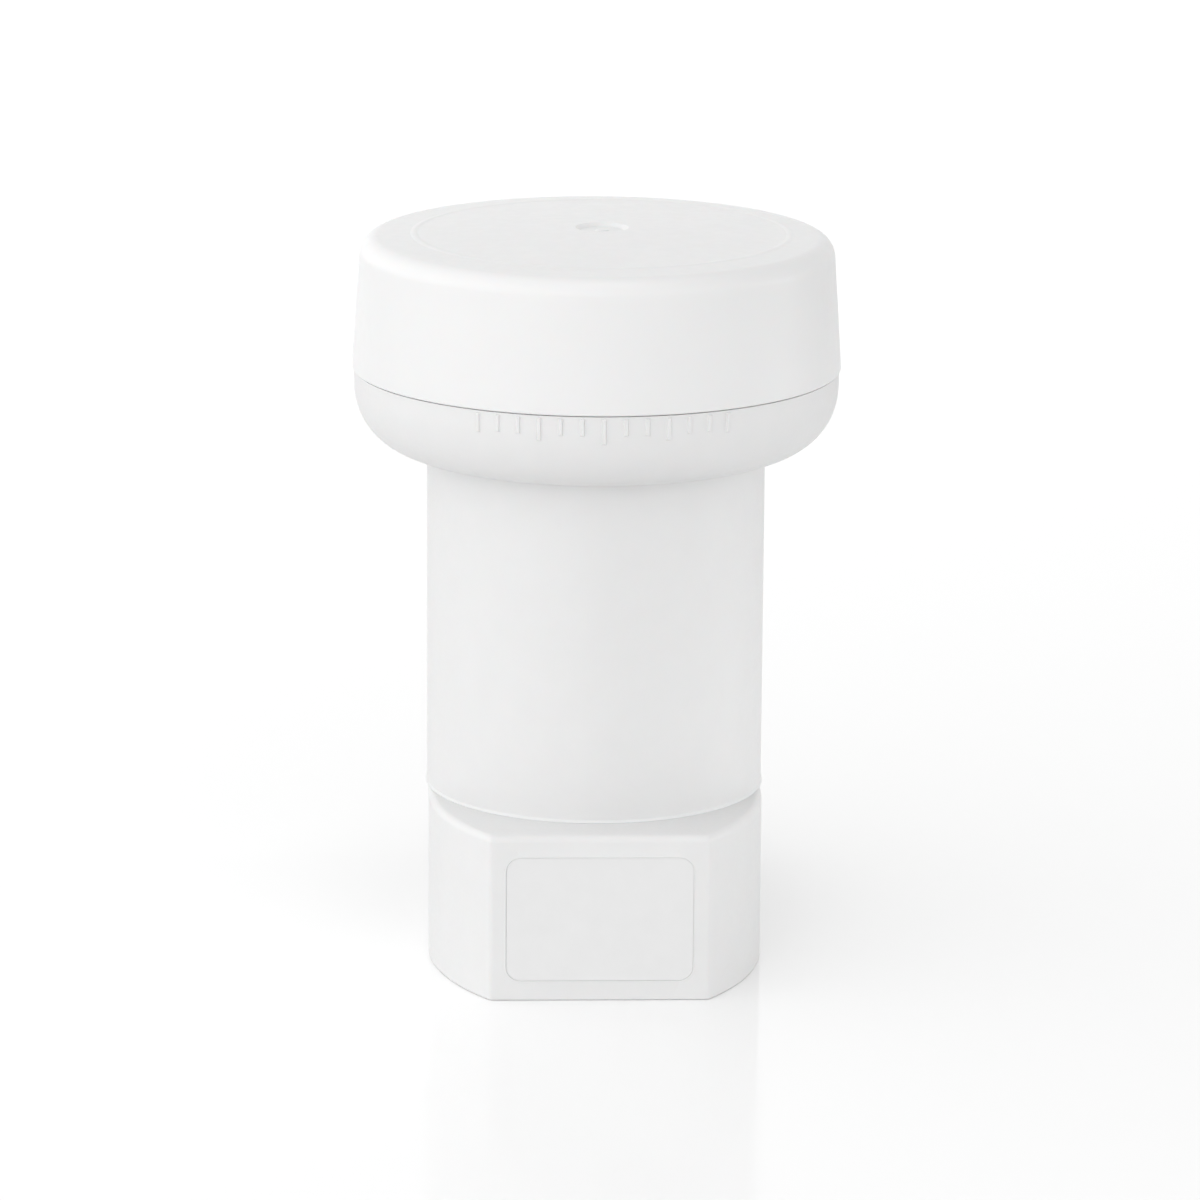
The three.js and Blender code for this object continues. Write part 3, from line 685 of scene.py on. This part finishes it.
def scale_angles():
    """Angles round the shroud: close together across each tick, coarser elsewhere."""
    across = [0, 0.1, 0.165, 0.19, 0.215, 0.24, 0.265, 0.3, 0.45]
    offsets = sorted({sign * a for a in across for sign in (-1, 1)})
    degrees = []
    for tick in range(-TICK_RANGE, TICK_RANGE + 1, TICK_STEP):
        degrees += [tick + math.degrees(a / BOWL_RADIUS) for a in offsets]
        if tick < TICK_RANGE:
            degrees += [tick + 1.75, tick + 2.5, tick + 3.25]
    start = TICK_RANGE + 2.5
    plain = 2 * (180 - start)
    count = round(plain / 2)
    degrees += [start + plain * k / count for k in range(count + 1)]
    return [math.radians(d - 90) for d in degrees]


def shroud_profile():
    seat = HOUSING_TOP + 0.01
    neck_top = BOWL_FOOT_Z + 0.05
    top = SHROUD_HIGH.z
    neck = rounded(
        [
            (NECK_LINER, SHROUD_LOW.z, 0.2),
            (NECK_INNER - 0.1, SHROUD_LOW.z, 0.3),
            (NECK_INNER - 0.1, seat, 0.1),
            (NECK_RADIUS + FOOT_FLARE, seat),
            (NECK_RADIUS + FOOT_FLARE, seat + 0.08, 0.06),
            (NECK_RADIUS, seat + FOOT_HEIGHT, 0.1),
            (NECK_RADIUS, neck_top, 0.3),
            (BOWL_FOOT_RADIUS + 1.2, neck_top + 0.05),
        ]
    )
    scale_low = TICK_TOP - TICK_ZONE
    bowl = bowl_curve(BOWL_RADIUS, BOWL_FOOT_RADIUS, BOWL_EDGE_Z, BOWL_FOOT_Z, 44)[::-1]
    bowl = [(r, z) for r, z in bowl if r > BOWL_FOOT_RADIUS + 1.3 and z < scale_low]
    rows = int((RIM_Z - 0.16 - scale_low) / SCALE_ROW)
    heights = [scale_low + 0.02 + SCALE_ROW * k for k in range(rows + 1)]
    scale = [(bowl_radius(z), z) for z in heights]
    rim = rounded(
        [
            (BOWL_RADIUS, RIM_Z - 0.12),
            (BOWL_RADIUS, RIM_Z, 0.06),
            (SPIGOT_RADIUS, RIM_Z, 0.15),
            *seal_groove(SPIGOT_RADIUS, middle_z("cap_seal"), 0.9),
            (SPIGOT_RADIUS + 0.2, top - 1.1, 0.4),
            (SPIGOT_RADIUS - 0.3, top, 0.25),
            (SPIGOT_INNER, top, 0.3),
            (SPIGOT_INNER, RIM_Z - 0.6),
        ]
    )
    inner_bowl = bowl_curve(SPIGOT_INNER, NECK_INNER + 0.9, RIM_Z - 0.6, BOWL_FOOT_Z + 2, 16)[1:]
    bore = rounded(
        [
            (NECK_INNER + 0.9, BOWL_FOOT_Z + 2),
            (NECK_INNER, BOWL_FOOT_Z + 1, 0.4),
            (NECK_INNER, HOUSING_TOP + 2.3, 0.5),
            (NECK_LINER, HOUSING_TOP + 1.3, 0.5),
            (NECK_LINER, SHROUD_LOW.z + 0.3),
        ]
    )
    return neck + bowl + scale + rim + inner_bowl + bore[1:]


def make_front_shroud():
    shroud = revolve("shroud_shell", shroud_profile(), scale_angles(), closed=True, warp=tick_relief)
    finish_piece(shroud, "shell", "receiver", "front_shroud")


# ---------------------------------------------------------------- rear housing


def housing_outline(inset):
    """Plan of the housing, anticlockwise from the middle of the label face: flat face, rounded corner,
    curved side and a back that follows the neck. Every inset has the same number of points."""
    half = HOUSING_HIGH.x - inset
    front = HOUSING_LOW.y + inset
    depth = SIDE_CENTRE_Y - HOUSING_LOW.y
    narrowing = HOUSING_HIGH.x - LABEL_FACE_HALF_WIDTH
    side_radius = (depth**2 + narrowing**2) / (2 * narrowing)
    side_x = HOUSING_HIGH.x - side_radius
    radius = side_radius - inset
    corner = max(CORNER_RADIUS - inset, 0.12)
    corner_y = front + corner
    corner_x = side_x + math.sqrt((radius - corner) ** 2 - (corner_y - SIDE_CENTRE_Y) ** 2)
    tangent = math.atan2(corner_y - SIDE_CENTRE_Y, corner_x - side_x)
    back_radius = BACK_RADIUS - inset
    back_angle = math.acos(half / back_radius)
    right = [(corner_x * k / 6, front) for k in range(6)]
    right += arc(corner_x, corner_y, corner, -math.pi / 2, tangent, 7)
    right += arc(side_x, SIDE_CENTRE_Y, radius, tangent, 0, 30)[1:]
    right += arc(0, 0, back_radius, back_angle, math.pi / 2, 44)
    left = [(-x, y) for x, y in right[1:-1]][::-1]
    return right + left


def flat_ring(inset, z):
    return [(x, y, z) for x, y in housing_outline(inset)]


def round_ring(radius, z):
    """A circle with one point at the bearing of each point of the outline."""
    return [(radius * x / math.hypot(x, y), radius * y / math.hypot(x, y), z) for x, y in housing_outline(0)]


def shoulder_fillet(x, y):
    """Radius of the shoulder's edge, which dies out where the sides meet the neck."""
    clear = math.hypot(x, y) - NECK_RADIUS
    return min(max(LEAST_TOP_FILLET + 0.9 * clear, LEAST_TOP_FILLET), TOP_FILLET)


def edge_rings(z, side, radius_at, steps):
    """Rings of a rounded edge from the wall to the flat face at z; side is 1 for a top, -1 for a bottom."""
    walls = list(zip(housing_outline(0), housing_outline(1)))
    rings = []
    for k in range(steps + 1):
        turn = k / steps * math.pi / 2
        ring = []
        for (x, y), (inner_x, inner_y) in walls:
            radius = radius_at(x, y)
            inset = radius * (1 - math.cos(turn))
            height = z - side * radius * (1 - math.sin(turn))
            ring.append((x + (inner_x - x) * inset, y + (inner_y - y) * inset, height))
        rings.append(ring)
    return rings


def rounded_rectangle(width, height, corner, steps=8):
    points = []
    for quarter, (across, up) in enumerate([(1, -1), (1, 1), (-1, 1), (-1, -1)]):
        start = (quarter - 1) * math.pi / 2
        x = across * (width / 2 - corner)
        z = up * (height / 2 - corner)
        points += arc(x, z, corner, start, start + math.pi / 2, steps)
    return points


def label_ring(margin, y):
    """The label recess's outline, drawn in by margin, at a depth."""
    shape = rounded_rectangle(RECESS_WIDTH - 2 * margin, RECESS_HEIGHT - 2 * margin, RECESS_CORNER - margin)
    return [(x, y, RECESS_CENTRE_Z + z) for x, z in shape]


def housing_shell():
    """The walls: rounded bottom and top edges outside, the opening under the neck, then the inner walls."""
    ceiling = HOUSING_TOP - HOUSING_WALL
    rings = edge_rings(0, -1, lambda x, y: BOTTOM_FILLET, 4)[::-1]
    rings += edge_rings(HOUSING_TOP, 1, shoulder_fillet, 9)
    rings += [round_ring(NECK_OPENING + 0.2, HOUSING_TOP), round_ring(NECK_OPENING, HOUSING_TOP - 0.2)]
    rings += [round_ring(NECK_OPENING, ceiling)]
    rings += [flat_ring(HOUSING_WALL + 0.3, ceiling), flat_ring(HOUSING_WALL, ceiling - 0.3)]
    rings += [flat_ring(HOUSING_WALL, 0.2), flat_ring(HOUSING_WALL - 0.2, 0)]
    return loft("housing_shell", rings)


def add_port_boss(housing):
    """The boss round the connector, with a collar at its root and the connector's hole through it."""
    back = NECK_RADIUS
    end = HOUSING_HIGH.y
    boss_path = [
        (0, back - 2.4),
        (BOSS_RADIUS + BOSS_COLLAR, back - 2.4),
        (BOSS_RADIUS + BOSS_COLLAR, back + 0.35, 0.3),
        (BOSS_RADIUS, back + 0.35, 0.2),
        (BOSS_RADIUS, end, 0.5),
        (0, end),
    ]
    boolean(housing, revolve("boss", rounded(boss_path), even_angles(96), port=True), "UNION")
    hole = [
        (0, back - 7),
        (PORT_HOLE_RADIUS, back - 7),
        (PORT_HOLE_RADIUS, end - 0.4),
        (PORT_HOLE_RADIUS + 0.6, end + 0.2),
        (0, end + 0.2),
    ]
    boolean(housing, revolve("port_hole", hole, even_angles(72), port=True), "DIFFERENCE")


def cut_label_recess(housing):
    """The shallow recess in the label face, with a low bead round its edge."""
    front = HOUSING_LOW.y
    crest = front - BEAD_HEIGHT
    root = front + 0.1
    bead = [(-BEAD_WIDTH, root), (-BEAD_WIDTH, front), (-0.5 * BEAD_WIDTH, crest), (0.1, crest), (0.1, root)]
    boolean(housing, loft("recess_bead", [label_ring(m, y) for m, y in bead]), "UNION")
    recess = [(-0.6, front - 0.5), (-LIP_CHAMFER, crest - 0.01), (0, crest + LIP_CHAMFER)]
    recess += [(0, front + RECESS_DEPTH)]
    boolean(housing, loft("recess", [label_ring(m, y) for m, y in recess], closed=False), "DIFFERENCE")


def make_rear_housing():
    housing = housing_shell()
    add_port_boss(housing)
    cut_label_recess(housing)
    finish_piece(housing, "shell", "receiver", "rear_housing")


def make_rating_label():
    """Blank film with softened edges, which nearly fills the recess."""
    outer, inner = HOUSING_LOW.y + LABEL_FILM_DROP, LABEL_HIGH.y
    margin = LABEL_FILM_MARGIN
    rings = [(margin, inner), (margin, outer + 0.04), (margin + 0.015, outer + 0.01), (margin + 0.05, outer)]
    label = loft("label_film", [label_ring(m, y) for m, y in rings], closed=False)
    finish_piece(label, "label", "receiver", "rating_label")


# ---------------------------------------------------------------- rear lid and its screws


def screw_places():
    """Axis (x, y) of each lid screw."""
    places = {}
    for k in range(1, 5):
        low, high = box_mm(f"lid_screw_{k}")
        places[f"lid_screw_{k}"] = ((low.x + high.x) / 2, (low.y + high.y) / 2)
    return places


def moved(obj, x, y):
    obj.data.transform(Matrix.Translation((x * MM, y * MM, 0)))
    return obj


def make_rear_lid():
    """The lid's plate, chamfered below, with a counterbored hole for each screw."""
    top = LID_THICKNESS
    rings = [flat_ring(LID_INSET + 0.3, 0), flat_ring(LID_INSET, 0.3), flat_ring(LID_INSET, top)]
    lid = loft("lid_plate", rings, closed=False)
    head, shank = COUNTERBORE_RADIUS, SHANK_HOLE_RADIUS
    hole = [(0, -1), (head + 0.25, -1), (head + 0.25, -0.01), (head, 0.25)]
    hole += [(head, top - 0.1), (shank, top - 0.1), (shank, top + 1), (0, top + 1)]
    for x, y in screw_places().values():
        boolean(lid, moved(revolve("counterbore", hole, even_angles(48)), x, y), "DIFFERENCE")
    finish_piece(lid, "shell", "receiver", "rear_lid")


# ---------------------------------------------------------------- feedhorn and its seal


def make_horn_throat():
    """Sleeve on the waveguide, with the neck seal's groove and the innermost fin."""
    collar = THROAT_HIGH.x
    foot = THROAT_LOW.z
    top = THROAT_HIGH.z
    path = rounded(
        [
            (HORN_BORE, foot + 5),
            (HORN_BORE, foot, 0.3),
            (collar, foot, 0.4),
            *seal_groove(collar, middle_z("neck_seal"), 0.8),
            (collar, foot + HORN_SHOULDER, 0.3),
            (THROAT_FIN, foot + HORN_SHOULDER, 0.4),
            (THROAT_FIN, top, 0.35),
            (THROAT_FIN - 1.2, top, 0.35),
            (WAVEGUIDE_BORE, foot + 16, 0.8),
            (WAVEGUIDE_BORE, foot + 10.3, 0.1),
            (HORN_BORE, foot + 10.3, 0.1),
            (HORN_BORE, foot + 5.1),
        ]
    )
    sleeve = revolve("throat_sleeve", path, even_angles(144), closed=True)
    finish_piece(sleeve, "casting", "receiver", "horn_throat")


def make_scalar_horn():
    """Corrugated dish pressed over the throat: a stepped floor and two fins with rounded crests."""
    foot = HORN_LOW.z
    top = HORN_HIGH.z
    rim = HORN_HIGH.x
    path = rounded(
        [
            (DISH_BORE, foot + 2),
            (DISH_BORE, foot, 0.2),
            (THROAT_HIGH.x, foot, 0.4),
            (THROAT_HIGH.x + 3, foot + 1.6, 1),
            (rim, foot + 7, 1.5),
            (rim, top, 0.45),
            (rim - 1.6, top, 0.45),
            (rim - 2, top - 11, 0.8),
            (DISH_FIN + 0.5, top - 11, 0.8),
            (DISH_FIN, top - 2, 0.4),
            (DISH_FIN - 1.4, top - 2, 0.4),
            (DISH_FIN - 1.8, top - 13, 0.8),
            (DISH_BORE, top - 13, 0.3),
            (DISH_BORE, foot + 2.1),
        ]
    )
    dish = revolve("feedhorn_dish", path, even_angles(144), closed=True)
    finish_piece(dish, "casting", "receiver", "scalar_horn")


def make_cap_seal():
    low, high = box_mm("cap_seal")
    radius = (high.z - low.z) / 2
    section = arc(high.x - radius, middle_z("cap_seal"), radius, 0, math.tau, 16)[:-1]
    seal = revolve("cap_o_ring", section, even_angles(144), closed=True)
    finish_piece(seal, "seal", "receiver", "cap_seal")


# ---------------------------------------------------------------- cable side


def thread_relief(angle, radius, height):
    """Cuts the connector's single-start thread, with rounded crests and roots, into its barrel."""
    start, end = THREAD_START, PORT_END - 0.3
    if radius < THREAD_RADIUS - 0.05 or not start < height < end:
        return radius
    phase = (height / THREAD_PITCH - angle / math.tau) % 1
    fade = min((height - start) / THREAD_PITCH, (end - height) / 0.2, 1)
    groove = 0.5 - 0.5 * math.cos(math.tau * phase)
    return radius - THREAD_DEPTH * fade * groove**1.3


def make_connector_body():
    """The F socket: a foot in the casting, a body with a seal groove, and the threaded barrel."""
    body = PORT_HIGH.x
    low, high = PORT_SEAL_GROOVE
    rows = int((PORT_END - 0.45 - THREAD_START) / THREAD_ROW)
    barrel = [(THREAD_RADIUS, THREAD_START + THREAD_ROW * k) for k in range(rows + 1)]
    foot = rounded(
        [
            (TAIL_HOLE_RADIUS, PORT_LOW.y),
            (BARREL_FOOT_RADIUS, PORT_LOW.y, 0.3),
            (BARREL_FOOT_RADIUS, BARREL_SHOULDER),
            (body, BARREL_SHOULDER, 0.2),
            (body, low, 0.1),
            (body - PORT_SEAL_DEPTH, low, 0.1),
            (body - PORT_SEAL_DEPTH, high, 0.1),
            (body, high, 0.1),
            (body, THREAD_START - 0.3, 0.25),
            (THREAD_RADIUS, THREAD_START - 0.15, 0.05),
            (THREAD_RADIUS, THREAD_START),
        ]
    )
    mouth = rounded(
        [
            (THREAD_RADIUS, PORT_END - 0.45),
            (THREAD_RADIUS - 0.35, PORT_END, 0.1),
            (SOCKET_RADIUS, PORT_END, 0.15),
            (SOCKET_RADIUS, SOCKET_FLOOR),
            (TAIL_HOLE_RADIUS, SOCKET_FLOOR),
        ]
    )
    path = foot + barrel[1:] + mouth[1:]
    socket = revolve("connector_barrel", path, even_angles(96), closed=True, warp=thread_relief, port=True)
    finish_piece(socket, "nickel", "receiver", "f_connector_body", sharp=40)


def make_connector_insulator():
    """The plug in the socket, with a countersunk hole for the centre contact."""
    low, high = box_mm("f_insulator")
    radius = high.x
    path = [
        (CONTACT_HOLE_RADIUS, low.y),
        (radius, low.y, 0.2),
        (radius, high.y, 0.35),
        (1.9, high.y, 0.1),
        (1.5, high.y - 0.35, 0.1),
        (CONTACT_HOLE_RADIUS, high.y - 0.35, 0.1),
        (CONTACT_HOLE_RADIUS, low.y + 1),
    ]
    insulator = revolve("connector_insulator", rounded(path), even_angles(64), closed=True, port=True)
    finish_piece(insulator, "ptfe", "receiver", "f_insulator")


def make_weather_boot():
    """Sliding sleeve over the connector: finger grips round its near half and a rolled lip at its mouth."""
    inner = BOSS_RADIUS + BOOT_CLEARANCE
    outer = inner + BOOT_WALL
    near, far = BOOT_LOW.y, BOOT_HIGH.y
    crest = outer + 0.25
    grips = []
    for start in GRIP_STARTS:
        y = near + start
        grips += [(outer, y, 0.25), (crest, y + 0.3, 0.25), (crest, y + 1.1, 0.25), (outer, y + 1.4, 0.25)]
    path = [
        (inner, near + 3),
        (inner, near, 0.2),
        (outer - 0.4, near, 0.3),
        (outer, near + 0.6, 0.6),
        *grips,
        (outer, far - 0.6, 0.5),
        (outer - 0.5, far, 0.3),
        (inner - 0.7, far, 0.3),
        (inner - 0.7, far - 1, 0.3),
        (inner, far - 1.7, 0.3),
    ]
    boot = revolve("weather_sleeve", rounded(path), even_angles(112), closed=True, port=True)
    finish_piece(boot, "shell", "boot", "weather_boot")


# ---------------------------------------------------------------- studio


def make_floor():
    """A round table top, far wider than the camera's view."""
    path = [(0, 0)] + [(radius / MM, 0) for radius in FLOOR_RINGS]
    floor = revolve("studio_floor", path, even_angles(96))
    floor.data.materials.append(studio_white())


def place_light(name, data, place, aim):
    """Puts a light in the scene, turned from its place towards its aim."""
    light = bpy.data.objects.new(name, data)
    light.location = place
    light.rotation_euler = (Vector(aim) - Vector(place)).to_track_quat("-Z", "Y").to_euler()
    bpy.context.scene.collection.objects.link(light)


def make_key():
    """A soft box overhead."""
    data = bpy.data.lights.new("key", "AREA")
    data.shape = "DISK"
    data.size = KEY_SIZE
    data.energy = KEY_POWER
    place_light("key", data, KEY_PLACE, CAMERA_TARGET)


def make_fill():
    """A low, narrow, soft-edged spot from the right, which lights the neck and housing but not the cap."""
    data = bpy.data.lights.new("fill", "SPOT")
    data.energy = FILL_POWER
    data.spot_size = math.radians(FILL_BEAM)
    data.spot_blend = FILL_BLEND
    data.shadow_soft_size = FILL_SIZE
    place_light("fill", data, FILL_PLACE, FILL_AIM)


def make_world():
    """A light tent: white light, stronger near the table and from the left, weaker overhead."""
    world = bpy.data.worlds.new("studio")
    world.use_nodes = True
    tree = world.node_tree
    direction = tree.nodes.new("ShaderNodeTexCoord").outputs["Generated"]
    slope = tree.nodes.new("ShaderNodeVectorMath")
    slope.operation = "DOT_PRODUCT"
    slope.inputs[1].default_value = TENT_SLOPE
    tree.links.new(direction, slope.inputs[0])
    level = tree.nodes.new("ShaderNodeMath")
    level.operation = "ADD"
    level.inputs[1].default_value = TENT_LEVEL
    tree.links.new(slope.outputs["Value"], level.inputs[0])
    tree.links.new(level.outputs["Value"], tree.nodes["Background"].inputs["Strength"])
    tree.nodes["Background"].inputs["Color"].default_value = (1, 1, 1, 1)
    bpy.context.scene.world = world


def make_camera():
    rise, turn = math.radians(CAMERA_ELEVATION), math.radians(CAMERA_TURN)
    back = Vector((math.sin(turn) * math.cos(rise), -math.cos(turn) * math.cos(rise), math.sin(rise)))
    data = bpy.data.cameras.new("camera")
    data.lens = CAMERA_LENS
    data.sensor_width = 36
    data.clip_start = 0.01
    data.clip_end = 50
    camera = bpy.data.objects.new("camera", data)
    camera.location = CAMERA_TARGET + CAMERA_DISTANCE * back
    camera.rotation_mode = "QUATERNION"
    roll = Quaternion((0, 0, 1), math.radians(CAMERA_ROLL))
    camera.rotation_quaternion = (-back).to_track_quat("-Z", "Y") @ roll
    bpy.context.scene.collection.objects.link(camera)
    bpy.context.scene.camera = camera


def finish_cad_nodes():
    """Gives every CAD node that stays in sight the procedural material of its slot."""
    for subpart in frame["record"]["subparts"]:
        mesh = frame["nodes"][subpart["node"]].data
        mesh.materials.clear()
        mesh.materials.append(MATERIALS[subpart["material_slot"]])


finish_cad_nodes()
make_horn_cap()
make_front_shroud()
make_rear_housing()
make_rating_label()
make_rear_lid()
make_horn_throat()
make_scalar_horn()
make_cap_seal()
make_connector_body()
make_connector_insulator()
make_weather_boot()

make_camera()
make_floor()
make_world()
make_key()
make_fill()
bpy.context.scene.view_settings.view_transform = "Standard"
